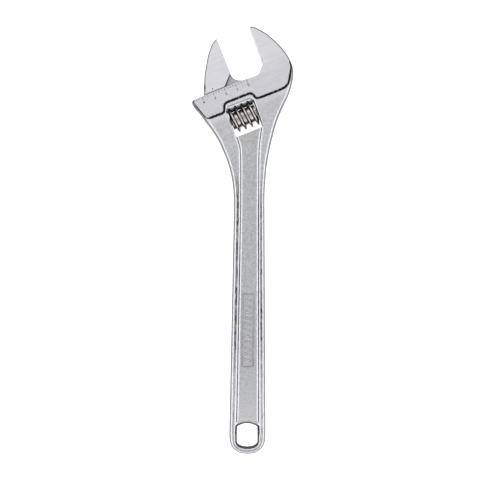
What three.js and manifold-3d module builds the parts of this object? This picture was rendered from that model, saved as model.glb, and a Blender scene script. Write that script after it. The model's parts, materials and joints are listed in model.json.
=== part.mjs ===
// Adjustable wrench: one forged body, a sliding jaw with a toothed bar, the worm that drives it,
// the pin that carries the worm and the small spring that takes up its end play.
// Millimetres, +Z up. The wrench lies flat, with its head towards +Y and its handle along -Y.

import * as THREE from 'three';
import { TessellateModifier } from 'three/addons/modifiers/TessellateModifier.js';
import { mergeVertices } from 'three/addons/utils/BufferGeometryUtils.js';
import Module from 'manifold-3d';

const wasm = await Module();
wasm.setup();

// ---------------------------------------------------------------------------------------------
// Driving dimensions
// ---------------------------------------------------------------------------------------------

// Head frame: u along the jaw's slide, v towards the jaw tips, w up. Its origin is the worm's centre.
const HEAD_ANGLE = THREE.MathUtils.degToRad(22);
const WORM_X = -5.9;

// Head and jaws
const HEAD_HALF = 13.7;
const HEAD_EDGE = 0.8;
const FIXED_FACE_U = 40.4;
const OPENING = 37.1;
const LEDGE_V = 36;
const FIT = 0.35;

// Neck and handle: half thickness of the neck, the handle's upper part and its hanging end
const NECK_HALF = 12.1;
const NECK_Y = -8;
const GRIP_HALF = 7.3;
const GRIP_Y = -125;
const END_HALF = 6.8;
const LONGEST_EDGE = 26;
const EDGE_WIDTH = 3.5;
const EDGE_SHARE = 0.3;
const HANDLE_TOP = { x: 16.6, y: -90 };
const HANDLE_END = { x: 19.6, y: -338 };
const END_Y = -361.2;
const CHANNEL_DEPTH = 3.2;
const CHANNEL_RIM = 0.2;
const CHANNEL_WALL = 2.4;
const CUTTER_LIFT = 0.6;
const CUTTER_RISE = 4;

// Hanging hole
const HOLE = { x: 12.4, top: -326.9, shoulder: -331.5, heel: -348.5, bottom: -355.2 };
const HOLE_CHAMFER = 1.8;
const FLARE_DEPTH = 4;

// Worm pocket, and the bore and slot that guide the sliding jaw
const POCKET = { u: 15.9, top: 15.5, bottom: -17.7, corner: 4.2 };
const BAR_RADIUS = 9.5;
const BAR_V = 18.9;
const BAR_START = -31.3;
const BAR_END = 18.5;
const BAR_CHAMFER = 1.6;
const BORE_END = 56.3;
const BORE_CHAMFER = 2;
const SLOT_END = 56;
const WEB_HALF = 4.5;
const OUTSIDE_U = -60;
const OUTSIDE_V = 60;

// Worm: one right-hand thread
const PITCH = 7.2;
const TURNS = 4;
const WORM_RADIUS = 13.4;
const WORM_ROOT = 8.85;
const THREAD_LAND = 1.4;
const FLANK = Math.tan(THREE.MathUtils.degToRad(15));
const CREST_U = 1.3;
const WORM_STEPS = 28;
const WORM_CHAMFER = 1.2;
const THREAD_SINK = 0.4;

// Rack: the same pitch, cut across the bar at the thread's lead angle
const RACK_ROOT_V = 13.9;
const RACK_SLANT = 0.098;
const RACK_PLAY = 0.22;

// Pin and spring
const PIN_RADIUS = 3;
const PIN_HEAD_RADIUS = 4.4;
const PIN_HEAD_LENGTH = 9;
const PIN_START = -36.6;
const PIN_END = 26;
const PIN_CHAMFER = 0.6;
const DRIVER_SLOT = { depth: 3, width: 1.2 };
const SPRING = { mean: 4.45, wire: 0.55, turns: 4.5, start: -15.1, pitch: 1.5 };
const SPRING_SEAT = { radius: 5.4, depth: 7.4 };

const ROUND = 40;
const ROUND_SMALL = 20;
const FULL_TURN = 2 * Math.PI;

// ---------------------------------------------------------------------------------------------
// Small tools
// ---------------------------------------------------------------------------------------------

// A point given in the head frame, in the handle's X and Y
function head(u, v) {
  const c = Math.cos(HEAD_ANGLE);
  const s = Math.sin(HEAD_ANGLE);
  return new THREE.Vector2(WORM_X + u * c - v * s, u * s + v * c);
}

const same = (x, y) => new THREE.Vector2(x, y);

// A closed outline from rows of points: a row of one point is a corner, a longer row a smooth curve
function outline(place, rows) {
  const shape = new THREE.Shape();
  rows.forEach((row, i) => {
    const points = row.map(([x, y]) => place(x, y));
    const first = points.shift();
    if (i === 0) shape.moveTo(first.x, first.y);
    else shape.lineTo(first.x, first.y);
    if (points.length > 0) shape.splineThru(points);
  });
  return shape;
}

// A merged, closed three.js geometry as a solid
function solid(geometry) {
  const bare = geometry.clone();
  bare.deleteAttribute('normal');
  bare.deleteAttribute('uv');
  const merged = mergeVertices(bare, 1e-5);
  return new wasm.Manifold(new wasm.Mesh({
    numProp: 3,
    vertProperties: merged.getAttribute('position').array,
    triVerts: Uint32Array.from(merged.index.array),
  }));
}

function geometryOf(manifold) {
  const { vertProperties, triVerts } = manifold.getMesh();
  const geometry = new THREE.BufferGeometry();
  geometry.setAttribute('position', new THREE.BufferAttribute(vertProperties, 3));
  geometry.setIndex(new THREE.BufferAttribute(triVerts, 1));
  geometry.computeVertexNormals();
  return geometry;
}

function mapPoints(geometry, change) {
  const position = geometry.getAttribute('position');
  const point = new THREE.Vector3();
  for (let i = 0; i < position.count; i += 1) {
    point.fromBufferAttribute(position, i);
    change(point);
    position.setXYZ(i, point.x, point.y, point.z);
  }
  return geometry;
}

// A flat slab of one outline, centred on the middle plane, with its edges chamfered
function slab(shape, half, edge, curveSegments = 3) {
  const geometry = new THREE.ExtrudeGeometry(shape, {
    depth: 2 * (half - edge),
    bevelEnabled: edge > 0,
    bevelThickness: edge,
    bevelSize: edge,
    bevelOffset: -edge,
    bevelSegments: 1,
    curveSegments,
  });
  return geometry.translate(0, 0, edge - half);
}

// A bar of round section along u, from a profile of [u, radius] pairs
function turned(profile, segments = ROUND) {
  const points = profile.map(([u, r]) => new THREE.Vector2(r, u));
  return new THREE.LatheGeometry(points, segments).rotateZ(-Math.PI / 2);
}

// Winds a straight bar, drawn as (u, radius, angle), into a right-hand helix along u
function wind(geometry, lead) {
  return mapPoints(geometry, (p) => {
    p.set(p.x + lead * p.z / FULL_TURN, p.y * Math.cos(p.z), p.y * Math.sin(p.z));
  });
}

// Half the forging's thickness: level at the neck, a smooth fall to the grip, then a slight taper
function halfThickness(y) {
  const fall = THREE.MathUtils.smoothstep(y, GRIP_Y, NECK_Y);
  const taper = THREE.MathUtils.clamp((GRIP_Y - y) / (GRIP_Y - END_Y), 0, 1);
  return GRIP_HALF + (NECK_HALF - GRIP_HALF) * fall - (GRIP_HALF - END_HALF) * taper;
}

// Cuts long edges, so that a flat slab can follow the forging's thickness
const divided = (geometry) => new TessellateModifier(LONGEST_EDGE, 12).modify(geometry);

const intoHead = new THREE.Matrix4()
  .makeTranslation(WORM_X, 0, 0)
  .multiply(new THREE.Matrix4().makeRotationZ(HEAD_ANGLE));

// A cutter drawn in the head frame, as a solid in the body's frame
const headCut = (geometry) => solid(geometry.clone().applyMatrix4(intoHead));

// ---------------------------------------------------------------------------------------------
// Body: fixed jaw, guide ledge, neck and handle, all one forging
// ---------------------------------------------------------------------------------------------

// The raised, ground face: fixed jaw, throat, ledge and the step above the worm pocket
function headPlate() {
  const shape = outline(head, [
    [[FIXED_FACE_U, 85]],
    [[42.2, 86.5], [45.2, 84.8], [55.1, 73.7], [64.9, 54], [68.6, 36], [66.2, 23.6]],
    [[62.1, 22]],
    [[59.1, 18.6], [56.2, 14.8], [51.5, 12.6], [46.1, 11.9]],
    [[22.1, 11.9], [19.4, 12.8], [17.2, 16.6], [13.3, 19.4]],
    [[-10.9, 19.4], [-14.6, 17.8], [-17.6, 13], [-20.9, 11]],
    [[-33, 11.2], [-37.6, 12.6], [-39.8, 17], [-41.5, 22.2]],
    [[-43.9, 22.2]],
    [[-46.6, 33.4]],
    [[-45.4, LEDGE_V]],
    [[14, LEDGE_V], [23, 35.3], [29, 35.5], [33.4, 37.8]],
    [[FIXED_FACE_U, 46.2]],
  ]);
  return solid(slab(shape, HEAD_HALF, HEAD_EDGE));
}

// Neck and handle, up to a line hidden inside the head
function handleBar() {
  const neckRight = [[44.6, 31], [37.4, 14.5], [29.7, -4.4], [24.2, -25.5], [19.8, -46.9], [17.5, -68.4]];
  const neckLeft = [[-17.2, -74], [-20.4, -57.9], [-28.1, -36.6], [-37.8, -18.3], [-48.3, -4.4]];
  const shape = outline(same, [
    [[-59.9, 10.6]],
    [[-34, 17.5]],
    [[30, 44]],
    [[46.4, 44.5]],
    [...neckRight, [HANDLE_TOP.x, HANDLE_TOP.y]],
    [[HANDLE_END.x, HANDLE_END.y]],
  ]);
  shape.bezierCurveTo(19.4, -356, 11, END_Y, 0, END_Y);
  shape.bezierCurveTo(-11, END_Y, -19.4, -356, -HANDLE_END.x, HANDLE_END.y);
  shape.lineTo(-HANDLE_TOP.x, HANDLE_TOP.y);
  shape.splineThru(neckLeft.map(([x, y]) => same(x, y)));
  const geometry = new THREE.ExtrudeGeometry(shape, {
    depth: 2 - 2 * EDGE_SHARE,
    bevelThickness: EDGE_SHARE,
    bevelSize: EDGE_WIDTH,
    bevelOffset: -EDGE_WIDTH,
    bevelSegments: 1,
    curveSegments: 3,
  });
  geometry.translate(0, 0, EDGE_SHARE - 1);
  return solid(mapPoints(divided(geometry), (p) => { p.z *= halfThickness(p.y); }));
}

// The sunk panel of the handle, one on each face, running from the worm pocket into the hanging hole
function channels() {
  const shape = outline(same, [
    [[-12.8, -19]],
    [[-10.8, -25.8], [-9.2, -31], [-8.6, -38]],
    [[-10.2, -340]],
    [[10.2, -340]],
    [[8.8, -42], [9.3, -31], [10.2, -20]],
    [[13.4, -8]],
  ]);
  const geometry = new THREE.ExtrudeGeometry(shape, {
    depth: CUTTER_LIFT,
    bevelThickness: 1,
    bevelSize: CHANNEL_WALL,
    bevelSegments: 1,
    curveSegments: 3,
  });
  const upper = mapPoints(divided(geometry), (p) => { p.z = sunk(p.y, p.z); });
  const lower = mapPoints(divided(geometry), (p) => { p.z = -sunk(p.y, CUTTER_LIFT - p.z); });
  return solid(upper).add(solid(lower));
}

// Height of a channel cutter's point: its floor is drawn at level -1 and its rim at level 0
function sunk(y, level) {
  const share = level < 0 ? level * (CHANNEL_DEPTH + CHANNEL_RIM) : level * CUTTER_RISE;
  return halfThickness(y) + CHANNEL_RIM + share;
}

// Hanging hole, chamfered on both faces
function hangingHole() {
  const shape = new THREE.Shape();
  shape.moveTo(HOLE.x, HOLE.shoulder);
  shape.bezierCurveTo(9.5, -328.2, 5, HOLE.top, 0, HOLE.top);
  shape.bezierCurveTo(-5, HOLE.top, -9.5, -328.2, -HOLE.x, HOLE.shoulder);
  shape.lineTo(-HOLE.x, HOLE.heel);
  shape.bezierCurveTo(-11.8, -352.2, -6.5, HOLE.bottom, 0, HOLE.bottom);
  shape.bezierCurveTo(6.5, HOLE.bottom, 11.8, -352.2, HOLE.x, HOLE.heel);
  const through = solid(slab(shape, HEAD_HALF, 0, 6));
  const flare = new THREE.ExtrudeGeometry(shape, {
    depth: FLARE_DEPTH,
    bevelThickness: HOLE_CHAMFER,
    bevelSize: HOLE_CHAMFER,
    bevelSegments: 1,
    curveSegments: 6,
  });
  const faceZ = halfThickness((HOLE.top + HOLE.bottom) / 2);
  const upper = solid(flare.clone().translate(0, 0, faceZ));
  const lower = solid(flare.clone().translate(0, 0, -faceZ - FLARE_DEPTH));
  return through.add(upper).add(lower);
}

// Pocket that the worm turns in, open on both faces
function wormPocket() {
  const { u, top, bottom, corner } = POCKET;
  const shape = outline(same, [
    [[-u, bottom]], [[u, bottom]], [[u, top - corner]], [[u - corner * 0.8, top]],
    [[corner * 0.8 - u, top]], [[-u, top - corner]],
  ]);
  return headCut(slab(shape, HEAD_HALF + 1, 0));
}

// Blind bore for the toothed bar and the slot above it for the jaw's web
function jawGuide() {
  const radius = BAR_RADIUS + FIT;
  const bore = turned([
    [OUTSIDE_U, 0], [OUTSIDE_U, radius],
    [BORE_END - BORE_CHAMFER, radius], [BORE_END, radius - BORE_CHAMFER], [BORE_END, 0],
  ]);
  bore.rotateX(Math.PI / ROUND);
  const slot = outline(same, [
    [[OUTSIDE_U, BAR_V]],
    [[SLOT_END, BAR_V]],
    [[SLOT_END, 33]],
    [[50.4, 37.4], [44.4, 41], [41.8, 48.4]],
    [[38, 48.4]],
    [[30, OUTSIDE_V]],
    [[OUTSIDE_U, OUTSIDE_V]],
  ]);
  return headCut(bore.translate(0, BAR_V, 0)).add(headCut(slab(slot, WEB_HALF + FIT, 0)));
}

// Hole for the worm's pin: a counterbore for its head, then through both walls of the pocket
function pinHole() {
  const shank = PIN_RADIUS + FIT;
  const neck = PIN_HEAD_RADIUS + FIT;
  const shoulder = PIN_START + PIN_HEAD_LENGTH + FIT;
  return headCut(turned([
    [OUTSIDE_U, 0], [OUTSIDE_U, neck], [shoulder, neck],
    [shoulder, shank], [PIN_END + 1, shank], [PIN_END + 1, 0],
  ], ROUND_SMALL));
}

function body() {
  return headPlate()
    .add(handleBar())
    .subtract(channels())
    .subtract(hangingHole())
    .subtract(wormPocket())
    .subtract(jawGuide())
    .subtract(pinHole());
}

// ---------------------------------------------------------------------------------------------
// Moving pieces and the pin, drawn in the head frame
// ---------------------------------------------------------------------------------------------

const jawFace = FIXED_FACE_U - OPENING;

// The jaw itself, above the ledge
function jawBlock() {
  const foot = LEDGE_V + FIT;
  return solid(slab(outline(same, [
    [[jawFace, 85.5]],
    [[jawFace, 47.2]],
    [[-6.9, foot]],
    [[-31.5, foot], [-29.6, 42.2], [-22.4, 57.2], [-12.2, 73.9], [-5.6, 81.8], [-0.2, 86.6]],
    [[1.9, 87.2]],
  ]), HEAD_HALF, HEAD_EDGE));
}

// The web that joins the jaw to its bar through the slot
function jawWeb() {
  return solid(slab(outline(same, [
    [[BAR_START, BAR_V]],
    [[BAR_END, BAR_V]],
    [[BAR_END, 31]],
    [[12.2, 36.6], [6.5, 39.9], [4, 42.8], [3.1, 47.6]],
    [[-1, 50]],
    [[-24, 50]],
    [[BAR_START, 37]],
  ]), WEB_HALF, 0));
}

// One space between two rack teeth, slanted across the bar like the worm's thread
function toothSpace(u) {
  const tipV = BAR_V - BAR_RADIUS - 1.5;
  const rootHalf = THREAD_LAND / 2 + RACK_PLAY;
  const tipHalf = rootHalf + (RACK_ROOT_V - tipV) * FLANK;
  const shape = outline(same, [
    [[-tipHalf, tipV]], [[tipHalf, tipV]], [[rootHalf, RACK_ROOT_V]], [[-rootHalf, RACK_ROOT_V]],
  ]);
  const space = slab(shape, BAR_RADIUS + 1, 0);
  return mapPoints(space, (p) => { p.x += u + RACK_SLANT * p.z; });
}

function slidingJaw() {
  const bar = turned([
    [BAR_START, 0], [BAR_START, BAR_RADIUS - BAR_CHAMFER], [BAR_START + BAR_CHAMFER, BAR_RADIUS],
    [BAR_END - BAR_CHAMFER, BAR_RADIUS], [BAR_END, BAR_RADIUS - BAR_CHAMFER], [BAR_END, 0],
  ]);
  bar.rotateX(Math.PI / ROUND).translate(0, BAR_V, 0);
  let jaw = jawBlock().add(jawWeb()).add(solid(bar));
  const first = Math.ceil((BAR_START - CREST_U) / PITCH);
  const last = Math.floor((BAR_END - CREST_U) / PITCH);
  for (let n = first; n <= last; n += 1) {
    jaw = jaw.subtract(solid(toothSpace(CREST_U + n * PITCH)));
  }
  return jaw;
}

// The worm's thread, wound about u and sunk a little into the root
function threadRidge() {
  const sunkBase = WORM_ROOT - THREAD_SINK;
  const base = THREAD_LAND / 2 + (WORM_RADIUS - sunkBase) * FLANK;
  const section = outline(same, [
    [[-base, sunkBase]], [[base, sunkBase]],
    [[THREAD_LAND / 2, WORM_RADIUS]], [[-THREAD_LAND / 2, WORM_RADIUS]],
  ]);
  const turns = TURNS + 2;
  const ridge = new THREE.ExtrudeGeometry(section, {
    depth: turns * FULL_TURN,
    steps: turns * WORM_STEPS,
    bevelEnabled: false,
  });
  ridge.translate(0, 0, -turns * Math.PI);
  return wind(ridge, PITCH).translate(CREST_U, 0, 0);
}

// Thread and root, trimmed to the worm's length and bored for the pin and the spring
function worm() {
  const half = TURNS * PITCH / 2;
  const crest = WORM_RADIUS + 0.2;
  const end = WORM_RADIUS - WORM_CHAMFER;
  const core = turned([
    [-half - 2, 0], [-half - 2, WORM_ROOT], [half + 2, WORM_ROOT], [half + 2, 0],
  ], WORM_STEPS);
  const trim = turned([
    [-half, 0], [-half, end], [WORM_CHAMFER - half, crest],
    [half - WORM_CHAMFER, crest], [half, end], [half, 0],
  ]);
  const seat = SPRING_SEAT.depth - half;
  const bore = turned([
    [-half - 1, 0], [-half - 1, SPRING_SEAT.radius], [seat, SPRING_SEAT.radius],
    [seat, PIN_RADIUS + FIT], [half + 1, PIN_RADIUS + FIT], [half + 1, 0],
  ], ROUND_SMALL);
  return solid(core).add(solid(threadRidge())).intersect(solid(trim)).subtract(solid(bore));
}

// Slotted screw pin, its head just below the side of the head
function wormPin() {
  const shoulder = PIN_START + PIN_HEAD_LENGTH;
  const pin = turned([
    [PIN_START, 0], [PIN_START, PIN_HEAD_RADIUS - PIN_CHAMFER], [PIN_START + PIN_CHAMFER, PIN_HEAD_RADIUS],
    [shoulder, PIN_HEAD_RADIUS], [shoulder, PIN_RADIUS],
    [PIN_END - PIN_CHAMFER, PIN_RADIUS], [PIN_END, PIN_RADIUS - PIN_CHAMFER], [PIN_END, 0],
  ], ROUND_SMALL);
  const slot = new THREE.BoxGeometry(DRIVER_SLOT.depth, DRIVER_SLOT.width, 2 * PIN_HEAD_RADIUS + 1);
  return solid(pin).subtract(solid(slot.translate(PIN_START, 0, 0)));
}

// Small coil spring round the pin, in the worm's seat
function wormSpring() {
  const section = new THREE.Shape();
  section.absarc(0, SPRING.mean, SPRING.wire, 0, FULL_TURN);
  const coil = new THREE.ExtrudeGeometry(section, {
    depth: SPRING.turns * FULL_TURN,
    steps: SPRING.turns * 12,
    bevelEnabled: false,
    curveSegments: 6,
  });
  return solid(wind(coil, SPRING.pitch).translate(SPRING.start, 0, 0));
}

// ---------------------------------------------------------------------------------------------
// The assembly
// ---------------------------------------------------------------------------------------------

const chrome = { color: 0xc9c9ce, roughness: 0.36, metalness: 1 };
const darkSteel = { color: 0x8c8482, roughness: 0.3, metalness: 1 };
const pinSteel = { color: 0xa3a3a6, roughness: 0.35, metalness: 1 };
const springSteel = { color: 0x6f7073, roughness: 0.4, metalness: 1 };

function piece(name, manifold, finish) {
  const mesh = new THREE.Mesh(geometryOf(manifold), new THREE.MeshStandardMaterial(finish));
  mesh.name = name;
  return mesh;
}

const headGroup = new THREE.Group();
headGroup.position.set(WORM_X, 0, 0);
headGroup.rotation.z = HEAD_ANGLE;
headGroup.add(piece('sliding_jaw', slidingJaw(), chrome));
headGroup.add(piece('worm', worm(), darkSteel));
headGroup.add(piece('worm_pin', wormPin(), pinSteel));
headGroup.add(piece('worm_spring', wormSpring(), springSteel));

const wrench = new THREE.Group();
wrench.add(piece('body', body(), chrome));
wrench.add(headGroup);

// The origin is the middle of the surface that the wrench lies on
wrench.updateMatrixWorld(true);
const bounds = new THREE.Box3().setFromObject(wrench, true);
const middle = bounds.getCenter(new THREE.Vector3());
wrench.position.set(-middle.x, -middle.y, -bounds.min.z);

export default wrench;
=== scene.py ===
import json
import math

import bpy
import numpy as np
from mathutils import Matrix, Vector


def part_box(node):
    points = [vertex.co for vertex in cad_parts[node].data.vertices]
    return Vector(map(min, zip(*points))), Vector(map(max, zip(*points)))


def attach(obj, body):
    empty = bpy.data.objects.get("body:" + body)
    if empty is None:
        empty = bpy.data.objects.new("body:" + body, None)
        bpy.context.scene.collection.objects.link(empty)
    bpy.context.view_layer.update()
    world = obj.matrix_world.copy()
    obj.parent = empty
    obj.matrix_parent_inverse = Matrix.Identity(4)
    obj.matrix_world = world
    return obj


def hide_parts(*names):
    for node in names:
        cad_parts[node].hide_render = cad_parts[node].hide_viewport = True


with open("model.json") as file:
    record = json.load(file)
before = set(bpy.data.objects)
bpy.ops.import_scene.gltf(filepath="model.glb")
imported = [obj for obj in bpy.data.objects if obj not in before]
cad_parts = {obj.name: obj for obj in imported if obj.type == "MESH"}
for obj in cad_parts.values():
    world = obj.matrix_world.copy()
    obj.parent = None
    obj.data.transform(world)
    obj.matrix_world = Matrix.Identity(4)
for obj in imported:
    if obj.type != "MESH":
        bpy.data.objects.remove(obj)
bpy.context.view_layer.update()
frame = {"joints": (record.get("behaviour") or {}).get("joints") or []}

# An adjustable wrench lying flat. Every piece is drawn in millimetres in the forging's own frame:
# X across the handle, Y along it towards the head, Z through the thickness, with the worm's centre
# at (WORM_X, 0, 0). The head frame (u, v) is turned by HEAD_ANGLE about that centre: u is the jaw's
# slide, v points at the jaw tips.

MM = 0.001
JOINTS = {joint["name"]: joint for joint in frame["joints"]}
SLIDE = Vector(JOINTS["jaw_slide"]["axis"])
WORM_CENTRE = Vector(JOINTS["worm_spin"]["pos_m"])
HEAD_ANGLE = math.atan2(SLIDE.y, SLIDE.x)
WORM_X = -5.9

# Head and jaws
HEAD_HALF = 0.5 * (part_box("body")[1].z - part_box("body")[0].z) / MM
FIXED_FACE_U = 40.4
OPENING = 37.1
LEDGE_V = 36
FIT = 0.35

# Neck and handle
NECK_HALF = 12.1
NECK_Y = -8
GRIP_HALF = 7.3
GRIP_Y = -125
END_HALF = 6.8
END_Y = -361.2
DRAFT = 0.05
CHANNEL_DEPTH = 3.2
CHANNEL_SLOPE = math.radians(57)
CHANNEL_WALL = 1.1
RIM_RADIUS = (1.2, 1.6)
FOOT_RADIUS = (1.2, 1.3)
LIP = {"height": 1.7, "at": 1.7, "width": 1.4}
HOLE_DRAFT = 0.24

# Rounded outer edge: an ellipse this wide and this deep, on the handle and on the head
HANDLE_EDGE = (3.3, 5.0)
HEAD_EDGE = (3.4, 5.5)
JAW_EDGE = (2.4, 4.5)
GROUND_LIFT = 0.15

# The step round the head's raised face: how far its wall leans out, and how much of that is taken
# back at the ledge's end and at the top of the fixed jaw
STEP = {"width": 4.4, "less_at_ledge": 3.2, "less_at_jaw": 3.0, "shift": 0.28, "fillet": 3.5}

# Worm pocket, guide bore and slot
POCKET = {"u": 15.9, "top": 15.5, "bottom": -17.7, "corner": 4.2}
BAR_RADIUS = 9.5
BAR_V = 18.9
BAR_START = -31.3
BAR_END = 18.5
BAR_CHAMFER = 1.6
BORE_END = 56.3
BORE_CHAMFER = 2
SLOT_END = 56
WEB_HALF = 4.5

# Worm and rack
PITCH = 7.2
WORM_HALF = 14.4
WORM_RADIUS = 13.4
WORM_ROOT = 8.85
THREAD_LAND = 1.4
FLANK = math.radians(15)
CREST_U = 1.3
RACK_ROOT_V = 13.9
RACK_SLANT = 0.098
RACK_PLAY = 0.22
WORM_CHAMFER = 1.2

# Pin and spring
PIN_RADIUS = 3
PIN_HEAD_RADIUS = 4.4
PIN_HEAD_LENGTH = 9
PIN_START = -36.6
PIN_END = 26
SPRING = {"mean": 4.45, "wire": 0.55, "turns": 4.5, "start": -15.1, "pitch": 1.5}
SPRING_SEAT = {"radius": 5.4, "depth": 7.4}
DRIVER_SLOT = {"half": 0.6, "depth": 1.5}

# Finish of the chrome: how bright the ground areas are, with painted light next to the step and lighter neck
# flanges and ends, and how dark the painted shade is
GROUND_AND_GLOW = {"ledge": 0.62, "neck": 0.27, "under_step": 0.4, "channel_end": 0.36, "handle_end": 0.8}
# Strengths of the painted shade: the step's black line, the flanges, the ring round the hole, the hole, the
# jaw's web and the panel's sides
SHADE_STRENGTH = {"step": 1.6, "flange": 0.7, "flange_end": 0.15, "hole": 0.75, "ring": 0.5, "web": 1.4,
           "panel": 1.6}

# Marks: the scale on the ledge, the index on the jaw and the raised panel on the handle
SCALE = {"zero": 16.6, "step": 12.7, "ticks": 4, "numerals": 5, "half_width": 0.24, "gap": 0.9, "v": 28.8}
TICK_LENGTHS = (3.2, 1.6, 2.2, 1.6)
NUMERAL_SIZE = 4.2
NUMERAL_WEIGHT = 0.07
INDEX = {"u": -20.5, "v": 38.9, "radius": 0.62, "sides": 24}
MARK_TOP = 0.06
MARK_SUNK = 0.1
PANEL = {"half": 6.4, "top": -189, "bottom": -268, "line": 0.6, "height": 0.7, "pitch": 6.4, "corner": 2.0,
         "slant": 0.3, "rib_half": 0.85, "rib_reach": 3.4, "rib_end": 4.5}

# Colours
FORGED = ((0.455, 0.46, 0.475, 1), (0.6, 0.605, 0.625, 1))
BRUSHED = ((0.6, 0.595, 0.625, 1), (0.66, 0.655, 0.685, 1))
# EDGE_SHADE is painted shade, mixed in on rounded edges and sides by the steep layer
EDGE_SHADE = (0.1, 0.1, 0.105, 1)
# Black painted shade for the step's wall, the channel's walls, the flanges, the hanging hole, the jaw's web
# and the panel's sides
PAINTED_SHADE_BLACK = (0.012, 0.012, 0.014, 1)
# The dark colour is painted shade on the worm's flanks and ends, and a light film of oil on the pin and
# spring
OILED_AND_SHADED_STEEL = ((0.6, 0.545, 0.535), (0.02, 0.014, 0.013))
ETCHED_MARK = ((0.13, 0.13, 0.15), (0.1, 0.1, 0.11))

# Stage: the camera, the two soft boxes and the tent's brightness by the sine of the angle above
# the horizon
CAMERA_OVER = (-6.5, -134.5)
CAMERA_HEIGHT = 1230
CAMERA_ROLL = math.radians(0.417)
CAMERA_LENS = 85
BOX_PLACE = (1.7, -0.1, 1.0)
BOX_SIZE = (2.6, 1.0)
BOX_POWER = 8
FLOOR_HALF = 3
FLOOR_GLOW = 0.95
TENT = [(0.0, 0.08), (0.1, 0.1), (0.24, 1.25), (0.5, 1.5), (0.65, 1.6), (0.82, 1.2), (0.94, 0.77),
        (1.0, 0.72)]


# ---------------------------------------------------------------------------------------------
# Plane outlines
# ---------------------------------------------------------------------------------------------

def from_head(u, v):
    """A point of the head frame in the forging's X and Y."""
    c, s = math.cos(HEAD_ANGLE), math.sin(HEAD_ANGLE)
    return WORM_X + u * c - v * s, u * s + v * c


def to_head(x, y):
    """X and Y of the forging in the head frame."""
    c, s = math.cos(HEAD_ANGLE), math.sin(HEAD_ANGLE)
    return (x - WORM_X) * c + y * s, y * c - (x - WORM_X) * s


def smooth(points, spacing=1.0):
    """A smooth curve through the points, as a row of points about one spacing apart."""
    knots = np.array([points[0], *points, points[-1]], float)
    row = []
    for a, b, c, d in zip(knots, knots[1:], knots[2:], knots[3:]):
        count = max(2, int(np.linalg.norm(c - b) / spacing))
        t = np.linspace(0, 1, count, endpoint=False)[:, None]
        row.append(0.5 * (2 * b + (c - a) * t + (2 * a - 5 * b + 4 * c - d) * t**2
                          + (3 * b - a - 3 * c + d) * t**3))
    return np.vstack([*row, knots[-1:]])


def outline(*rows, place=None):
    """A closed outline: a row of one point is a corner, a longer row a smooth curve."""
    parts = [smooth(row) if len(row) > 1 else np.array(row, float) for row in rows]
    points = np.vstack(parts)
    if place is not None:
        points = np.column_stack(place(points[:, 0], points[:, 1]))
    return points


class Region:
    """Signed distance to a closed outline, negative inside, from a fine grid worked out once."""

    def __init__(self, points, cell=0.35, margin=6.0):
        self.cell = cell
        self.low = points.min(0) - margin
        self.count = np.ceil((np.ptp(points, axis=0) + 2 * margin) / cell).astype(int) + 1
        gx = self.low[0] + cell * np.arange(self.count[0])
        gy = self.low[1] + cell * np.arange(self.count[1])
        x, y = np.meshgrid(gx, gy, indexing="ij")
        nearest = np.full(x.shape, np.inf)
        inside = np.zeros(x.shape, bool)
        for (ax, ay), (bx, by) in zip(points, np.roll(points, -1, axis=0)):
            dx, dy = bx - ax, by - ay
            length2 = dx * dx + dy * dy
            if length2 < 1e-12:
                continue
            t = np.clip(((x - ax) * dx + (y - ay) * dy) / length2, 0, 1)
            nearest = np.minimum(nearest, (x - ax - t * dx) ** 2 + (y - ay - t * dy) ** 2)
            if ay != by:
                crosses = (gy > min(ay, by)) & (gy <= max(ay, by))
                edge_x = ax + (gy - ay) * dx / dy
                inside ^= crosses[None, :] & (x < edge_x[None, :])
        self.grid = np.where(inside, -1, 1) * np.sqrt(nearest)

    def __call__(self, x, y):
        fx = (x - self.low[0]) / self.cell
        fy = (y - self.low[1]) / self.cell
        cx = np.clip(fx, 0, self.count[0] - 1.001)
        cy = np.clip(fy, 0, self.count[1] - 1.001)
        i, j = cx.astype(int), cy.astype(int)
        s, t = cx - i, cy - j
        g = self.grid
        near = (1 - t) * g[i, j] + t * g[i, j + 1]
        far = (1 - t) * g[i + 1, j] + t * g[i + 1, j + 1]
        return (1 - s) * near + s * far + self.cell * np.hypot(fx - cx, fy - cy)


# ---------------------------------------------------------------------------------------------
# Solids as distance functions, and their surfaces
# ---------------------------------------------------------------------------------------------

def meet(a, b, radius):
    """What is inside both a and b, with the edge between them rounded."""
    rounded = np.hypot(np.maximum(radius + a, 0), np.maximum(radius + b, 0))
    return np.minimum(-radius, np.maximum(a, b)) + rounded


def join(a, b, radius):
    """What is inside a or b, with the corner between them filleted."""
    return -meet(-a, -b, radius)


def cut(a, b, radius):
    """What is inside a and outside b, with a rounded edge."""
    return meet(a, -b, radius)


def blend(t, low, high):
    """0 below `low`, 1 above `high`, smooth between; low may be the larger."""
    t = np.clip((t - low) / (high - low), 0, 1)
    return t * t * (3 - 2 * t)


def chamfered(a, b, width, radius):
    """What is inside both a and b, with the edge between them cut off at 45 degrees."""
    return meet(meet(a, b, radius), (a + b + width) * math.sqrt(0.5), radius)


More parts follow.
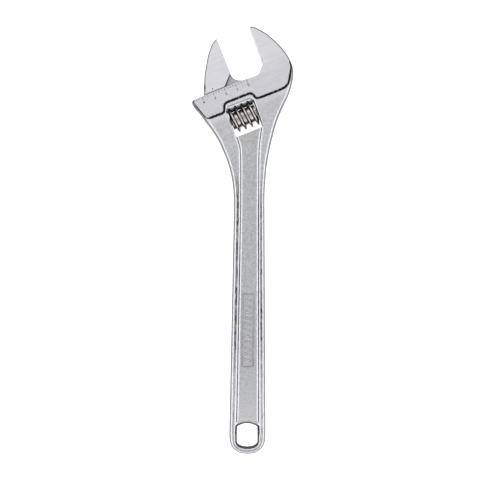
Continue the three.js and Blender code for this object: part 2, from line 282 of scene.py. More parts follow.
def surface(solid, low, high, step):
    """The closed surface of a solid inside a box: corners and quads, the corners on the surface."""
    low = np.array(low, float)
    grid = [a + step * np.arange(int((b - a) / step) + 2) for a, b in zip(low, high)]
    value = solid(*np.meshgrid(*grid, indexing="ij", sparse=True))
    strides = np.array([value.shape[1] * value.shape[2], value.shape[2], 1])
    cells, crossings = [], []
    for axis in range(3):
        first = np.delete(value, -1, axis)
        second = np.delete(value, 0, axis)
        index = np.argwhere((first < 0) != (second < 0))
        a = first[tuple(index.T)]
        b = second[tuple(index.T)]
        point = index.astype(float)
        point[:, axis] += a / (a - b)
        b_step, c_step = strides[(axis + 1) % 3], strides[(axis + 2) % 3]
        corner = index @ strides
        quad = np.column_stack([corner, corner - b_step, corner - b_step - c_step, corner - c_step])
        flip = a >= 0
        quad[flip] = quad[flip][:, ::-1]
        cells.append(quad)
        crossings.append(np.repeat(point, 4, axis=0))
    crossings = np.vstack(crossings)
    _, number = np.unique(np.vstack(cells).ravel(), return_inverse=True)
    number = number.ravel()
    weight = np.bincount(number)
    corners = np.column_stack([np.bincount(number, crossings[:, k]) / weight for k in range(3)])
    corners = low + step * corners
    for _ in range(3):
        corners = settle(solid, corners, 0.5 * step)
    return corners, number.reshape(-1, 4)


def gradient(solid, p, eps=0.12):
    """The slope of a distance function at points."""
    x, y, z = p.T
    slope = [solid(x + eps, y, z) - solid(x - eps, y, z),
             solid(x, y + eps, z) - solid(x, y - eps, z),
             solid(x, y, z + eps) - solid(x, y, z - eps)]
    return np.column_stack(slope) / (2 * eps)


def settle(solid, p, most):
    """Moves points onto the surface, each by no more than `most`."""
    slope = gradient(solid, p)
    value = solid(*p.T)
    move = value[:, None] * slope / np.maximum((slope**2).sum(1), 0.2)[:, None]
    length = np.linalg.norm(move, axis=1, keepdims=True)
    return p - move * np.minimum(1, most / np.maximum(length, 1e-9))


def to_row(p):
    """Points of the forging's frame, in mm, as points of the row frame, in metres."""
    return (np.asarray(p) - (WORM_X, 0, 0)) * MM + np.array(WORM_CENTRE)


def add_mesh(name, corners, faces):
    """A mesh object from points in metres and faces of equal size."""
    mesh = bpy.data.meshes.new(name)
    mesh.vertices.add(len(corners))
    mesh.vertices.foreach_set("co", np.asarray(corners, np.float32).ravel())
    mesh.loops.add(faces.size)
    mesh.loops.foreach_set("vertex_index", faces.astype(np.int32).ravel())
    mesh.polygons.add(len(faces))
    mesh.polygons.foreach_set("loop_start", np.arange(0, faces.size, faces.shape[1], dtype=np.int32))
    mesh.update(calc_edges=True)
    mesh.validate()
    piece = bpy.data.objects.new(name, mesh)
    bpy.context.scene.collection.objects.link(piece)
    return piece


def add_layer(mesh, name, values):
    """A number for each corner of a mesh, for its material to read."""
    layer = mesh.attributes.new(name, "FLOAT", "POINT")
    layer.data.foreach_set("value", values.astype(np.float32))


def thinned(piece, keep):
    """A piece's mesh with this share of its faces, fewest where it is flat."""
    thin = piece.modifiers.new("thin", "DECIMATE")
    thin.ratio = keep
    ready = piece.evaluated_get(bpy.context.evaluated_depsgraph_get())
    mesh = bpy.data.meshes.new_from_object(ready)
    piece.modifiers.clear()
    return mesh


def corner_places(mesh):
    """The corners of a mesh as rows of three numbers."""
    places = np.zeros(len(mesh.vertices) * 3, np.float32)
    mesh.vertices.foreach_get("co", places)
    return places.reshape(-1, 3)


def from_row(p):
    """Points of the row frame, in metres, as points of the forging's frame, in mm."""
    return (np.asarray(p) - np.array(WORM_CENTRE)) / MM + (WORM_X, 0, 0)


def build(name, solid, finish, box, step, keep, body, nodes):
    """A piece from its distance function: surfaced, thinned where flat and shaded by the exact slope."""
    corners, faces = surface(solid, *box, step)
    piece = add_mesh(name, to_row(corners), faces)
    if keep < 1:
        piece.data = thinned(piece, keep)
    mesh = piece.data
    mesh.name = name
    drawn = from_row(corner_places(mesh))
    slope = gradient(solid, drawn)
    slope /= np.maximum(np.linalg.norm(slope, axis=1, keepdims=True), 1e-9)
    mesh.shade_smooth()
    mesh.normals_split_custom_set_from_vertices(slope.astype(np.float32))
    for layer, values in finish(*drawn.T, slope).items():
        add_layer(mesh, layer, values)
    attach(piece, body)
    if nodes:
        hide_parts(*nodes)
    return piece


# ---------------------------------------------------------------------------------------------
# Body
# ---------------------------------------------------------------------------------------------

def half_thickness(y):
    """Level at the neck, a smooth fall to the grip, then a slight taper to the end."""
    taper = np.clip((GRIP_Y - y) / (GRIP_Y - END_Y), 0, 1)
    return GRIP_HALF + (NECK_HALF - GRIP_HALF) * blend(y, GRIP_Y, NECK_Y) - (GRIP_HALF - END_HALF) * taper


def between(pair, share):
    """A value between the two of a pair."""
    return pair[0] + (pair[1] - pair[0]) * share


def end_arc(sign):
    """One half of the handle's rounded end, from its side to its middle."""
    side = [(19.5, -338), (19.2, -346), (17.2, -352.8), (13.3, -357.2), (7.6, -360.3), (0, END_Y)]
    return [(sign * x + 0.25, y) for x, y in side]


silhouette = Region(outline(
    [(-0.8, 95.2)],
    [(0, 96.2), (2.8, 96.5), (9.4, 93.7), (17.5, 89.1), (25.8, 82.3), (34, 74.3), (41.2, 64.5),
     (45.4, 55.6), (46.7, 47.5), (45.7, 37), (41.8, 23.6), (35.7, 10.4), (29.7, -4.4), (25.2, -20.5),
     (21.7, -36.2), (19.1, -52), (17.6, -68.4), (16.9, -84), (17, -100)],
    end_arc(1),
    end_arc(-1)[::-1],
    [(-16.1, -100), (-16.4, -84), (-18.1, -68.6), (-20.4, -57.9), (-23.7, -47.3), (-28.1, -36.6),
     (-32.9, -26.4), (-37.8, -18.3), (-43.1, -11), (-48.3, -4.4), (-52.7, 1.2), (-56.8, 6.2),
     (-60.8, 11.2), (-62, 13.6)],
    [(-61.6, 16)],
    [(-61.2, 60)],
))

mouth = Region(outline(
    [(FIXED_FACE_U, 130)],
    [(FIXED_FACE_U, 47.6), (40.1, 45.9), (36.9, 42), (33.6, 38.2), (31.4, 36.2), (28.4, 35.3),
     (23, 35.2), (17, 35.7), (12, LEDGE_V)],
    [(-37, LEDGE_V)],
    [(-90, 31.5)],
    [(-90, 130)],
    place=from_head,
))

raised_face = Region(outline(
    [(78, 60), (76, 44), (71, 36.5), (65.8, 30.5), (62.1, 23.8), (59.4, 18.8), (56, 14.9), (52, 12.7),
     (46.1, 11.9)],
    [(23.4, 12), (20.4, 12.4), (18.5, 14.2), (17.4, 17.6), (15.5, 19.7), (12.6, 20.3)],
    [(-10.4, 20.3), (-13.5, 19.6), (-15.5, 17.5), (-17, 14.2), (-18.4, 12), (-20.9, 11.2)],
    [(-32.6, 11.3), (-36.2, 11.7), (-38.2, 13.6), (-39.6, 17.2), (-41.4, 22.4), (-43.8, 31),
     (-45.2, 40)],
    [(-50, 130)],
    [(90, 130)],
    place=from_head,
))

channel = Region(outline(
    [(-13.6, -19)],
    [(-11, -25.8), (-9.3, -31.5), (-8.4, -38), (-8, -50), (-7.8, -80), (-7.8, -110)],
    [(-10.5, -338)],
    [(11.2, -338)],
    [(9.4, -110), (9.3, -80), (9.2, -52), (9.3, -40), (9.8, -30), (10.9, -20), (12, -13)],
    [(10.5, -8)],
    [(4, 0)],
))

pocket = Region(outline(
    [(-POCKET["u"], POCKET["bottom"])],
    [(POCKET["u"] - 0.8, POCKET["bottom"])],
    [(POCKET["u"], POCKET["top"] - POCKET["corner"])],
    [(POCKET["u"] - 0.8 * POCKET["corner"], POCKET["top"])],
    [(0.8 * POCKET["corner"] - POCKET["u"], POCKET["top"])],
    [(-POCKET["u"], POCKET["top"] - POCKET["corner"])],
    place=from_head,
))

hanging_hole = Region(outline(
    [(12.5, -348.2), (12.6, -340), (12.4, -331.6)],
    [(11.6, -330.6), (8.9, -329), (4.6, -327.4), (0, -326.8), (-4.6, -327.4), (-8.9, -329),
     (-11.6, -330.6)],
    [(-12.4, -331.6), (-12.6, -340), (-12.5, -348.2)],
    [(-11.8, -350.2), (-9.5, -352.6), (-5, -354.4), (0, -354.9), (5, -354.4), (9.5, -352.6),
     (11.8, -350.2)],
))

guide_slot = Region(outline(
    [(-90, BAR_V)],
    [(SLOT_END, BAR_V)],
    [(SLOT_END, 33)],
    [(50.4, 37.4), (44.4, 41), (41.8, 48.4)],
    [(38, 60)],
    [(-90, 60)],
    place=from_head,
))


def round_edge(side, top, width, depth):
    """A side and a top met by an elliptical edge."""
    return meet(side * depth / width, top, depth)


def step_width(x, y):
    """How far the wall round the raised face leans out: less at the face's two ends."""
    u, v = to_head(x, y)
    at_ledge = STEP["less_at_ledge"] * blend(u, -33, -38)
    at_jaw = STEP["less_at_jaw"] * blend(v, 22, 38) * blend(u, 40, 50)
    return STEP["width"] - at_ledge - at_jaw


def body_faces(x, y, height):
    """The raised face, its leaning wall and the lower forged face, as one level."""
    width = step_width(x, y)
    lean = width / (HEAD_HALF - NECK_HALF)
    step = raised_face(x, y) + STEP["shift"] * width + lean * (height - 0.5 * (HEAD_HALF + NECK_HALF))
    raised = meet(height - HEAD_HALF, step / np.hypot(1, lean), 0.25)
    filleted = join(raised, height - half_thickness(y), STEP["fillet"])
    return np.maximum(filleted, height - HEAD_HALF)


def body_blank(x, y, height):
    """The whole forging before anything is cut out of it."""
    top = body_faces(x, y, height)
    head_share = blend(y, -70, 0)
    width = between((HANDLE_EDGE[0], HEAD_EDGE[0]), head_share)
    depth = between((HANDLE_EDGE[1], HEAD_EDGE[1]), head_share)
    side = silhouette(x, y) + DRAFT * height
    blank = round_edge(side, top - GROUND_LIFT * blend(y, -10, 10), width, depth)
    return np.maximum(blank, top)


def cut_channel(solid, x, y, height):
    """The sunk channel, with a raised lip where it meets the hanging hole."""
    lip = LIP["height"] * np.exp(-(((hanging_hole(x, y) - LIP["at"]) / LIP["width"]) ** 2))
    above = height - half_thickness(y) + CHANNEL_DEPTH
    wall = math.sin(CHANNEL_SLOPE) * channel(x, y) - math.cos(CHANNEL_SLOPE) * above
    wear = blend(y, -110, -300)
    return cut(solid, meet(wall, lip - above, between(FOOT_RADIUS, wear)), between(RIM_RADIUS, wear))


def jaw_guide(x, y, z):
    """The blind bore for the toothed bar and the slot above it for the jaw's web."""
    u, v = to_head(x, y)
    off_bore = np.hypot(v - BAR_V, z) - BAR_RADIUS - FIT
    bore = chamfered(off_bore, u - BORE_END, BORE_CHAMFER, 0.3)
    return join(bore, np.maximum(guide_slot(x, y), np.abs(z) - WEB_HALF - FIT), 0.3)


def pin_hole(x, y, z):
    """The hole for the worm's pin, with a counterbore for its head."""
    u, v = to_head(x, y)
    off_pin = np.hypot(v, z)
    shoulder = PIN_START + PIN_HEAD_LENGTH + FIT
    counterbore = np.maximum(off_pin - PIN_HEAD_RADIUS - FIT, u - shoulder)
    return np.minimum(counterbore, np.maximum(off_pin - PIN_RADIUS - FIT, u - PIN_END - 1))


def body_solid(x, y, z):
    height = np.abs(z)
    _, v = to_head(x, y)
    solid = cut(body_blank(x, y, height), mouth(x, y), 0.5)
    solid = cut_channel(solid, x, y, height)
    solid = cut(solid, hanging_hole(x, y) + HOLE_DRAFT * (END_HALF - height), 1.4)
    solid = cut(solid, pocket(x, y), 0.3 + 1.3 * blend(v, -14, -9))
    solid = cut(solid, jaw_guide(x, y, z), 0.4)
    return cut(solid, pin_hole(x, y, z), 0.3)


def on_top(height):
    """1 on the head's ground faces, 0 below them."""
    return blend(height, HEAD_HALF - 0.25, HEAD_HALF - 0.05)


def body_ground(x, y, z, level_share):
    """How bright the surface is ground: most on the jaw's faces, less on the ledge; painted light lightens
    the band next to the step, and the neck's flanges and the channel's and handle's ends are lighter too.
    """
    _, v = to_head(x, y)
    face = on_top(np.abs(z)) * level_share
    flange = blend(channel(x, y), 2.2, 3)
    # Painted light: the band next to the step is lightened; the neck's flanges and the ends are lighter as
    # well
    neck = GROUND_AND_GLOW["neck"] * blend(y, -70, -25) + GROUND_AND_GLOW["under_step"] * blend(raised_face(x, y), 11, 2.5)
    lightened = np.maximum(neck * flange, GROUND_AND_GLOW["channel_end"] * blend(y, -270, -320))
    lightened = np.maximum(lightened, GROUND_AND_GLOW["handle_end"] * blend(y, -290, -325) * flange) * level_share
    in_mouth = blend(mouth(x, y), 0.5, 0.2)
    jaw_share = GROUND_AND_GLOW["ledge"] + (1 - GROUND_AND_GLOW["ledge"]) * blend(v, 33, 47)
    return np.maximum(np.maximum(face * jaw_share, lightened), in_mouth)


def step_residue(x, y, height):
    """Painted shade: the black line down the wall of the step, fading out at the mouth and at the forging's
    edge.
    """
    off_face = raised_face(x, y)
    foot = 0.25 + 0.22 * step_width(x, y)
    line = blend(off_face, foot + 0.25, foot - 0.15) * blend(off_face, -3.4, -2.6)
    line = line * blend(height - half_thickness(y), -0.6, -0.2) * blend(silhouette(x, y), -1.0, -2.0)
    line = line * blend(mouth(x, y), 0.2, 0.8) * blend(height, HEAD_HALF - 0.03, HEAD_HALF - 0.3)
    return SHADE_STRENGTH["step"] * line


def flange_residue(x, y, height):
    """Painted shade: dark lines along the flanges, fainter near the end, where a thin painted dark line rings
    the hole instead.
    """
    flange = blend(channel(x, y), 2.3, 3.2) * blend(silhouette(x, y), -2.6, -3.8) * blend(y, -50, -90)
    fading = between((SHADE_STRENGTH["flange"], SHADE_STRENGTH["flange_end"]), blend(y, -220, -310))
    flange = flange * fading * blend(hanging_hole(x, y), 1.0, 2.0)
    ring = SHADE_STRENGTH["ring"] * blend(np.abs(silhouette(x, y) + 3.9), 0.9, 0.4) * blend(y, -285, -320)
    return np.maximum(flange, ring) * blend(height - half_thickness(y), -0.3, -0.1)


def body_recess(x, y, z, level_share):
    """Painted shade under the raised face, in the hanging hole, down the channel's walls and on the flanges.
    """
    height = np.abs(z)
    reach = np.where(x > 0, blend(y, -70, -105), blend(y, -125, -185))
    walls = reach * blend(np.abs(channel(x, y) - CHANNEL_WALL), 1.9, 1.5) * (1 - level_share)
    in_hole = SHADE_STRENGTH["hole"] * blend(hanging_hole(x, y), 0.35, 0)
    painted_dark = np.maximum(step_residue(x, y, height), walls)
    return np.maximum(painted_dark, np.maximum(flange_residue(x, y, height), in_hole))


def steepness(up, start, full):
    """The shade on a rounded edge, strongest just above the side and lighter down the side itself."""
    return blend(up, start, full) * (0.6 + 0.4 * blend(up, 0.08, 0.3))


def body_finish(x, y, z, slope):
    up = np.abs(slope[:, 2])
    head_share = blend(y, 20, 50)
    return {
        "ground_and_glow": body_ground(x, y, z, blend(up, 0.9, 0.97)),
        "painted_shade": body_recess(x, y, z, blend(up, 0.62, 0.74)),
        "steep": steepness(up, 0.76 + 0.12 * head_share, 0.5 + 0.15 * head_share),
    }


# ---------------------------------------------------------------------------------------------
# Sliding jaw
# ---------------------------------------------------------------------------------------------

JAW_FACE = FIXED_FACE_U - OPENING
FOOT = LEDGE_V + FIT

jaw_back = Region(outline(
    [(3.1, 87.3), (1.2, 86.9), (-3.3, 84.1), (-7.6, 79.5), (-12.2, 73.9), (-15.6, 68.4), (-19.1, 62.8),
     (-22.6, 57), (-26.1, 49.5), (-29.5, 41.7), (-31.6, 36.1)],
    [(-35, 10)],
    [(40, 10)],
    [(40, 90)],
))
jaw_front = Region(outline(
    [(JAW_FACE, 120)],
    [(JAW_FACE, 47.2)],
    [(-6.9, FOOT)],
    [(-60, FOOT)],
    [(-60, 120)],
))
jaw_web = Region(outline(
    [(BAR_START, BAR_V)],
    [(BAR_END, BAR_V)],
    [(BAR_END, 31)],
    [(15, 36.6), (11.4, 37.6), (7.8, 39), (5.4, 41), (4, 43.6), (3.2, 47.6)],
    [(-1, 50)],
    [(-24, 50)],
    [(BAR_START, 37)],
))


def toothed_bar(u, v, z):
    """The round bar with its rack, whose spaces slant with the worm's thread."""
    off_bar = np.hypot(v - BAR_V, z) - BAR_RADIUS
    ends = np.abs(u - 0.5 * (BAR_START + BAR_END)) - 0.5 * (BAR_END - BAR_START)
    bar = chamfered(off_bar, ends, BAR_CHAMFER, 0.3)
    along = (u - CREST_U - RACK_SLANT * z + 0.5 * PITCH) % PITCH - 0.5 * PITCH
    root_half = 0.5 * THREAD_LAND + RACK_PLAY
    space = (np.abs(along) - root_half) * math.cos(FLANK) - (RACK_ROOT_V - v) * math.sin(FLANK)
    return cut(bar, meet(space, v - RACK_ROOT_V, 0.3), 0.35)


def jaw_solid(x, y, z):
    u, v = to_head(x, y)
    height = np.abs(z)
    top = height - HEAD_HALF
    block = np.maximum(round_edge(jaw_back(u, v), top - GROUND_LIFT, *JAW_EDGE), top)
    block = meet(block, jaw_front(u, v), 0.3 + 0.9 * blend(u, -8, -6) * blend(v, 48.5, 46.5))
    web = meet(jaw_web(u, v), height - WEB_HALF, 1.0)
    return join(join(block, web, 0.8), toothed_bar(u, v, z), 0.8)


def jaw_finish(x, y, z, slope):
    """The jaw's faces are ground; painted shade darkens its chamfer and the edge of its web."""
    u, v = to_head(x, y)
    height = np.abs(z)
    up = np.abs(slope[:, 2])
    face = blend(u, JAW_FACE - 0.6, JAW_FACE - 0.2) * blend(v, 46, 47)
    edge = blend(up, 0.97, 0.85) * blend(height, HEAD_HALF - 2.5, HEAD_HALF - 1.5)
    chamfer = edge * blend(v, 48, 46) * blend(u, -30, -28)
    web = blend(up, 0.98, 0.88) * blend(height, WEB_HALF + 0.6, WEB_HALF)
    web = web * blend(height, WEB_HALF - 1.5, WEB_HALF - 1) * blend(jaw_front(u, v), 0.2, 0.8)
    return {
        "ground_and_glow": np.maximum(on_top(height) * blend(up, 0.9, 0.97), face),
        "painted_shade": np.maximum(chamfer, SHADE_STRENGTH["web"] * web),
        "steep": steepness(up, 0.9, 0.68),
    }


# ---------------------------------------------------------------------------------------------
# Worm, pin and spring
# ---------------------------------------------------------------------------------------------

def helix_place(u, angle, pitch, at):
    """Distance along u to the nearest turn of a right-hand helix."""
    return (u - at - pitch * angle / (2 * math.pi) + 0.5 * pitch) % pitch - 0.5 * pitch


def worm_solid(x, y, z):
    u, v = to_head(x, y)
    r = np.hypot(v, z)
    along = helix_place(u, np.arctan2(z, v), PITCH, CREST_U)
    flank = (np.abs(along) - 0.5 * THREAD_LAND) * math.cos(FLANK) - (WORM_RADIUS - r) * math.sin(FLANK)
    ridge = meet(flank, r - WORM_RADIUS, 0.55)
    solid = join(ridge, r - WORM_ROOT, 0.8)
    end = np.abs(u) - WORM_HALF
    solid = meet(solid, (end + r - WORM_RADIUS + WORM_CHAMFER) * math.sqrt(0.5), 0.3)
    solid = meet(solid, end, 0.3)
    seat = np.maximum(r - SPRING_SEAT["radius"], u + WORM_HALF - SPRING_SEAT["depth"])
    return cut(solid, np.minimum(seat, r - PIN_RADIUS - FIT), 0.3)


def worm_finish(x, y, z, slope):
    """Bright lands and roots, with black painted shade on the flanks and ends."""
    u, v = to_head(x, y)
    r = np.hypot(v, z)
    flank = blend(r, WORM_ROOT + 0.3, WORM_ROOT + 1.1) * blend(r, WORM_RADIUS - 0.2, WORM_RADIUS - 0.9)
    ends = blend(np.abs(u), WORM_HALF - 1.0, WORM_HALF - 0.3)
    return {"oil_and_shade": np.maximum(flank, ends)}


def plain_finish(x, y, z, slope):
    """A light film of oil all over."""
    return {"oil_and_shade": np.full(len(x), 0.3)}


def pin_solid(x, y, z):
    u, v = to_head(x, y)
    r = np.hypot(v, z)
    head_middle = PIN_START + 0.5 * PIN_HEAD_LENGTH
    head = meet(r - PIN_HEAD_RADIUS, np.abs(u - head_middle) - 0.5 * PIN_HEAD_LENGTH, 0.5)
    middle = 0.5 * (PIN_START + PIN_END)
    shank = meet(r - PIN_RADIUS, np.abs(u - middle) - (PIN_END - middle), 0.5)
    slot = np.maximum(np.abs(v) - DRIVER_SLOT["half"], u - PIN_START - DRIVER_SLOT["depth"])
    return cut(np.minimum(head, np.maximum(shank, PIN_START + 2 - u)), slot, 0.15)


def spring_solid(x, y, z):
    u, v = to_head(x, y)
    r = np.hypot(v, z)
    along = helix_place(u, np.arctan2(z, v), SPRING["pitch"], SPRING["start"])
    length = SPRING["turns"] * SPRING["pitch"]
    wire = np.hypot(r - SPRING["mean"], along) - SPRING["wire"]
    return meet(wire, np.abs(u - SPRING["start"] - 0.5 * length) - 0.5 * length, 0.15)


def around(corners, margin=1.5):
    """A box round points of the head frame (u, v, w), in the forging's frame."""
    places = np.array([(*from_head(u, v), w) for u, v, w in corners])
    return places.min(0) - margin, places.max(0) + margin


def head_box(u, v, w):
    """The box round a span of u, a span of v and a half height."""
    return around([(a, b, c) for a in u for b in v for c in (-w, w)])


def body_box(margin=1.2):
    """The box round the forging, in its own frame."""
    low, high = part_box("body")
    return from_row(low) - margin, from_row(high) + margin


FINE = 0.55
SPRING_STEP = 0.25

body = build("forged_body", body_solid, body_finish, body_box(), FINE, 0.38,
             "frame", ["body"])
jaw = build("jaw_with_rack", jaw_solid, jaw_finish, head_box((-33, 21), (8, 90), HEAD_HALF), 0.8 * FINE, 0.6,
            "jaw", ["sliding_jaw"])
worm = build("worm_screw", worm_solid, worm_finish, head_box((-15, 15), (-13.6, 13.6), 13.6), 0.6 * FINE, 0.5,
             "worm", ["worm"])
pin = build("slotted_pin", pin_solid, plain_finish, head_box((PIN_START, PIN_END), (-4.5, 4.5), 4.5),
            0.6 * FINE, 1, "frame", ["worm_pin"])
spring = build("coil_spring", spring_solid, plain_finish, head_box((-16, -7.5), (-5.2, 5.2), 5.2),
               SPRING_STEP, 1, "frame", ["worm_spring"])


# ---------------------------------------------------------------------------------------------
# Materials
# ---------------------------------------------------------------------------------------------

class Nodes:
    """A material's node tree, with its shader, written from the shader backwards."""

    def __init__(self, name, metallic=1.0):
        self.material = bpy.data.materials.new(name)
        self.material.use_nodes = True
        self.tree = self.material.node_tree
        self.shader = self.tree.nodes["Principled BSDF"]
        self.shader.inputs["Metallic"].default_value = metallic
        self.place = self.add("ShaderNodeTexCoord").outputs["Object"]

    def add(self, kind, **settings):
        node = self.tree.nodes.new(kind)
        for key, value in settings.items():
            setattr(node, key, value)
        return node

    def link(self, source, target):
        if hasattr(source, "is_output"):
            self.tree.links.new(source, target)
        else:
            target.default_value = source

    def layer(self, name):
        return self.add("ShaderNodeAttribute", attribute_name=name).outputs["Fac"]

    def stretched(self, scale, turn=0.0):
        """The surface's own place, turned about Z and scaled."""
        mapping = self.add("ShaderNodeMapping", vector_type="TEXTURE")
        self.link(self.place, mapping.inputs["Vector"])
        mapping.inputs["Rotation"].default_value = (0, 0, turn)
        mapping.inputs["Scale"].default_value = scale
        return mapping.outputs["Vector"]

    def noise(self, scale, detail=3.0, place=None):
        node = self.add("ShaderNodeTexNoise")
        self.link(place or self.place, node.inputs["Vector"])
        node.inputs["Scale"].default_value = scale
        node.inputs["Detail"].default_value = detail
        return node.outputs["Fac"]

    def remap(self, value, low, high, to_low, to_high):
        node = self.add("ShaderNodeMapRange")
        for socket, number in zip(("Value", "From Min", "From Max", "To Min", "To Max"),
                                  (value, low, high, to_low, to_high)):
            self.link(number, node.inputs[socket])
        return node.outputs["Result"]

    def math(self, operation, a, b):
        node = self.add("ShaderNodeMath", operation=operation)
        self.link(a, node.inputs[0])
        self.link(b, node.inputs[1])
        return node.outputs["Value"]

    def mix(self, share, a, b):
        node = self.add("ShaderNodeMix", data_type="RGBA")
        self.link(share, node.inputs["Factor"])
        self.link(a, node.inputs["A"])
        self.link(b, node.inputs["B"])
        return node.outputs["Result"]

    def mix_values(self, share, a, b):
        node = self.add("ShaderNodeMix", data_type="FLOAT")
        self.link(share, node.inputs[0])
        self.link(a, node.inputs[2])
        self.link(b, node.inputs[3])
        return node.outputs[0]

    def bump(self, height, distance, strength):
        node = self.add("ShaderNodeBump")
        self.link(height, node.inputs["Height"])
        node.inputs["Distance"].default_value = distance
        node.inputs["Strength"].default_value = strength
        return node.outputs["Normal"]

    def finish(self, color, roughness, normal):
        self.link(color, self.shader.inputs["Base Color"])
        self.link(roughness, self.shader.inputs["Roughness"])
        self.link(normal, self.shader.inputs["Normal"])
        return self.material


def chrome_material():
    """Satin chrome: pebbled on the forged skin, finely brushed where ground and lighter where painted light
    is added, darker with painted shade on steep edges, and black with painted shade in the step, channel
    walls, flanges and hole.
    """
    n = Nodes("satin_chrome")
    ground_and_glow = n.layer("ground_and_glow")
    pebble = n.noise(900, 3)
    mottle = n.noise(520, 3)
    streaks = n.noise(60, 5, n.stretched((1, 0.05, 0.1), HEAD_ANGLE))
    speckle = n.remap(n.noise(600, 3, n.stretched((1, 4, 1))), 0.35, 0.65, 0.5, 1.5)
    forged = n.mix(n.remap(mottle, 0.3, 0.7, 0, 1), *FORGED)
    brushed = n.mix(n.remap(streaks, 0.35, 0.65, 0, 1), *BRUSHED)
    # Painted shade on rounded edges and sides, less on ground faces; the same share also raises the roughness
    edge_shade_share = n.math("MULTIPLY", n.layer("steep"), n.remap(ground_and_glow, 0, 1, 0.85, 0.1))
    # Painted shade: the black layer, broken up by the speckle, mixes in black
    painted_dark = n.math("MINIMUM", n.math("MULTIPLY", n.layer("painted_shade"), speckle), 1.0)
    color = n.mix(edge_shade_share, n.mix(ground_and_glow, forged, brushed), EDGE_SHADE)
    color = n.mix(painted_dark, color, PAINTED_SHADE_BLACK)
    rough = n.mix_values(ground_and_glow, n.remap(mottle, 0.3, 0.7, 0.3, 0.42), n.remap(streaks, 0.3, 0.7, 0.5, 0.58))
    rough = n.mix_values(n.math("MAXIMUM", n.layer("painted_shade"), edge_shade_share), rough, 0.65)
    depth = n.mix_values(ground_and_glow, pebble, n.math("MULTIPLY", streaks, 0.5))
    return n.finish(color, rough, n.bump(depth, 0.00012, 0.6))


def oily_material(name, light, dark):
    """Turned steel: bright lands; the dark colour is painted shade on the worm's flanks and ends and a film
    of oil on the pin and spring.
    """
    n = Nodes(name)
    smear = n.noise(420, 4)
    shaded = tuple(0.7 * part for part in light)
    metal = n.mix(n.remap(smear, 0.35, 0.65, 0, 1), (*light, 1), (*shaded, 1))
    color = n.mix(n.layer("oil_and_shade"), metal, (*dark, 1))
    rough = n.remap(smear, 0.3, 0.7, 0.16, 0.32)
    return n.finish(color, rough, n.bump(n.noise(1500, 2), 0.00003, 0.4))


def paint(piece, material):
    """Gives a piece its material."""
    piece.data.materials.clear()
    piece.data.materials.append(material)


chrome = chrome_material()
oiled_and_shaded_steel = oily_material("oiled_and_shaded_steel", *OILED_AND_SHADED_STEEL)
ink = oily_material("etched_mark", *ETCHED_MARK)
for piece in (body, jaw):
    paint(piece, chrome)
for piece in (worm, pin, spring):
    paint(piece, oiled_and_shaded_steel)


# ---------------------------------------------------------------------------------------------
# Marks
# ---------------------------------------------------------------------------------------------

def bar_mark(u, half_width, low_v, high_v):
    """Corners and faces of a thin upright plate on the ground face, at u."""
    outline_points = [from_head(u + side * half_width, v)
                      for side, v in ((-1, low_v), (1, low_v), (1, high_v), (-1, high_v))]
    points = [(x, y, z) for z in (HEAD_HALF - MARK_SUNK, HEAD_HALF + MARK_TOP) for x, y in outline_points]
    faces = [(3, 2, 1, 0), (4, 5, 6, 7), (0, 1, 5, 4), (1, 2, 6, 5), (2, 3, 7, 6), (3, 0, 4, 7)]
    return np.array(points), np.array(faces)


def dress(piece, material, body):
    """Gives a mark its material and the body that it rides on."""
    paint(piece, material)
    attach(piece, body)


def add_ticks(material):
    """The scale's ticks on the ledge, longest at each numeral."""
    points, faces = [], []
    top = LEDGE_V - SCALE["gap"]
    for number in range(SCALE["ticks"] * SCALE["numerals"]):
        u = SCALE["zero"] - number * SCALE["step"] / SCALE["ticks"]
        length = TICK_LENGTHS[number % SCALE["ticks"]]
        tick, tick_faces = bar_mark(u, SCALE["half_width"], top - length, top)
        faces.append(tick_faces + len(tick) * len(points))
        points.append(tick)
    ticks = add_mesh("scale_ticks", to_row(np.vstack(points)), np.vstack(faces))
    dress(ticks, material, "frame")


def add_numeral(number, material):
    """One of the scale's plain numerals, upright towards the jaw tips."""
    text = bpy.data.curves.new(f"numeral_{number}", "FONT")
    text.body = str(number)
    text.size = NUMERAL_SIZE * MM
    text.offset = NUMERAL_WEIGHT * MM
    text.extrude = 0.5 * (MARK_TOP + MARK_SUNK) * MM
    text.align_x = "CENTER"
    text.align_y = "CENTER"
    holder = bpy.data.objects.new("numeral_draft", text)
    bpy.context.scene.collection.objects.link(holder)
    bpy.context.view_layer.update()
    ready = holder.evaluated_get(bpy.context.evaluated_depsgraph_get())
    mesh = bpy.data.meshes.new_from_object(ready)
    bpy.data.objects.remove(holder)
    points = corner_places(mesh) / MM
    x, y = from_head(SCALE["zero"] - number * SCALE["step"] + points[:, 0], SCALE["v"] + points[:, 1])
    placed = to_row(np.column_stack([x, y, HEAD_HALF + 0.5 * (MARK_TOP - MARK_SUNK) + points[:, 2]]))
    mesh.vertices.foreach_set("co", placed.astype(np.float32).ravel())
    mesh.update()
    mesh.name = f"numeral_{number}"
    piece = bpy.data.objects.new(mesh.name, mesh)
    bpy.context.scene.collection.objects.link(piece)
    dress(piece, material, "frame")


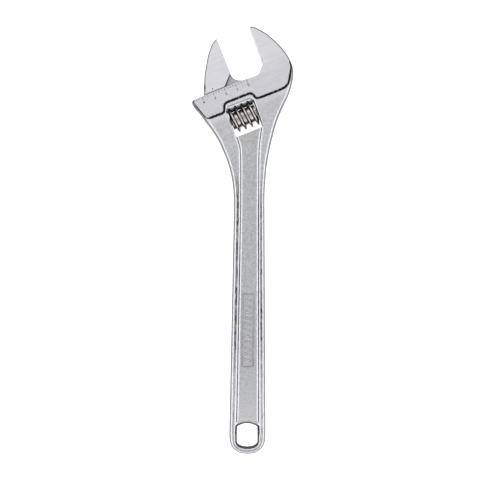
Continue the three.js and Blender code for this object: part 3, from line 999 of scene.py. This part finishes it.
def add_index(material):
    """The punched dot on the jaw that reads against the scale."""
    count = INDEX["sides"]
    turn = np.linspace(0, 2 * math.pi, count, endpoint=False)
    x, y = from_head(INDEX["u"] + INDEX["radius"] * np.cos(turn), INDEX["v"] + INDEX["radius"] * np.sin(turn))
    low = np.column_stack([x, y, np.full(count, HEAD_HALF - MARK_SUNK)])
    high = np.column_stack([x, y, np.full(count, HEAD_HALF + MARK_TOP)])
    sides = [(i, (i + 1) % count, count + (i + 1) % count, count + i) for i in range(count)]
    faces = [tuple(range(count))[::-1], tuple(range(count, 2 * count)), *sides]
    mesh = bpy.data.meshes.new("index_dot")
    mesh.from_pydata([tuple(p) for p in to_row(np.vstack([low, high]))], [], faces)
    piece = bpy.data.objects.new("index_dot", mesh)
    bpy.context.scene.collection.objects.link(piece)
    dress(piece, material, "jaw")


def panel_finish(x, y, z, slope):
    """Painted highlight on top of the border and the ribs, painted shade down their sides."""
    up = np.abs(slope[:, 2])
    return {
        "ground_and_glow": 0.9 * blend(up, 0.9, 0.97),
        "painted_shade": SHADE_STRENGTH["panel"] * blend(up, 0.98, 0.9),
        "steep": np.zeros(len(x)),
    }


def panel_solid(x, y, z):
    """A plain raised border round a row of plain ribs, on the floor of the channel."""
    middle = 0.5 * (PANEL["top"] + PANEL["bottom"])
    half_long = 0.5 * (PANEL["top"] - PANEL["bottom"])
    dx = np.abs(x) - PANEL["half"] + PANEL["corner"]
    dy = np.abs(y - middle) - half_long + PANEL["corner"]
    outside = np.hypot(np.maximum(dx, 0), np.maximum(dy, 0))
    plate = outside + np.minimum(np.maximum(dx, dy), 0) - PANEL["corner"]
    border = np.abs(plate + PANEL["line"]) - PANEL["line"]
    slant = y - middle + PANEL["slant"] * x
    nearest = (slant + 0.5 * PANEL["pitch"]) % PANEL["pitch"] - 0.5 * PANEL["pitch"]
    reach = meet(np.abs(x) - PANEL["rib_reach"], np.abs(slant) - half_long + PANEL["rib_end"], 0.4)
    ribs = meet(np.abs(nearest) - PANEL["rib_half"], reach, 0.4)
    floor = half_thickness(y) - CHANNEL_DEPTH
    return meet(np.minimum(border, ribs), np.abs(z - floor) - PANEL["height"], 0.4)


def add_panel(material, margin=0.6):
    """The raised panel, inside a box with this much room round it."""
    low = (-PANEL["half"] - margin, PANEL["bottom"] - margin, 2.9)
    high = (PANEL["half"] + margin, PANEL["top"] + margin, 5.2)
    panel = build("raised_panel", panel_solid, panel_finish, (low, high), 0.25, 0.5,
                  "frame", [])
    dress(panel, material, "frame")


add_ticks(ink)
for number in range(SCALE["numerals"]):
    add_numeral(number, ink)
add_index(ink)
add_panel(chrome)


# ---------------------------------------------------------------------------------------------
# Stage: floor, lights and camera
# ---------------------------------------------------------------------------------------------

def add_floor():
    corners = FLOOR_HALF * np.array([(-1, -1, 0), (1, -1, 0), (1, 1, 0), (-1, 1, 0)], float)
    floor = add_mesh("floor", corners, np.array([[0, 1, 2, 3]]))
    n = Nodes("pale_floor", metallic=0.0)
    n.finish((0.5, 0.5, 0.5, 1), 0.8, n.bump(n.noise(40), 0.0001, 0.2))
    n.shader.inputs["Emission Color"].default_value = (1, 1, 1, 1)
    n.shader.inputs["Emission Strength"].default_value = FLOOR_GLOW
    floor.data.materials.append(n.material)


def add_light(name, side):
    """A soft box to one side of the wrench, facing it."""
    lamp = bpy.data.lights.new(name, "AREA")
    lamp.shape = "RECTANGLE"
    lamp.size, lamp.size_y = BOX_SIZE
    lamp.energy = BOX_POWER
    place = Vector((side * BOX_PLACE[0], BOX_PLACE[1], BOX_PLACE[2]))
    holder = bpy.data.objects.new(name, lamp)
    holder.location = place
    holder.rotation_euler = (-place).to_track_quat("-Z", "Y").to_euler()
    bpy.context.scene.collection.objects.link(holder)


def add_tent():
    """A white tent as the world: bright round the sides, quieter overhead, dark at the horizon."""
    world = bpy.data.worlds.new("tent")
    world.use_nodes = True
    nodes, links = world.node_tree.nodes, world.node_tree.links
    coordinates = nodes.new("ShaderNodeTexCoord")
    parts = nodes.new("ShaderNodeSeparateXYZ")
    ramp = nodes.new("ShaderNodeValToRGB")
    ramp.color_ramp.interpolation = "EASE"
    for stop in TENT[2:]:
        ramp.color_ramp.elements.new(stop[0])
    for element, (at, level) in zip(ramp.color_ramp.elements, TENT):
        element.position = at
        element.color = (level, level, level, 1)
    links.new(coordinates.outputs["Generated"], parts.inputs["Vector"])
    links.new(parts.outputs["Z"], ramp.inputs["Fac"])
    links.new(ramp.outputs["Color"], nodes["Background"].inputs["Color"])
    nodes["Background"].inputs["Strength"].default_value = 1.0
    bpy.context.scene.world = world
    bpy.context.scene.view_settings.view_transform = "Standard"


def add_camera():
    lens = bpy.data.cameras.new("camera")
    lens.lens = CAMERA_LENS
    camera = bpy.data.objects.new("camera", lens)
    camera.location = to_row((*CAMERA_OVER, CAMERA_HEIGHT))
    camera.rotation_euler = (0, 0, CAMERA_ROLL)
    bpy.context.scene.collection.objects.link(camera)
    bpy.context.scene.camera = camera


add_floor()
add_tent()
add_light("left_box", -1)
add_light("right_box", 1)
add_camera()
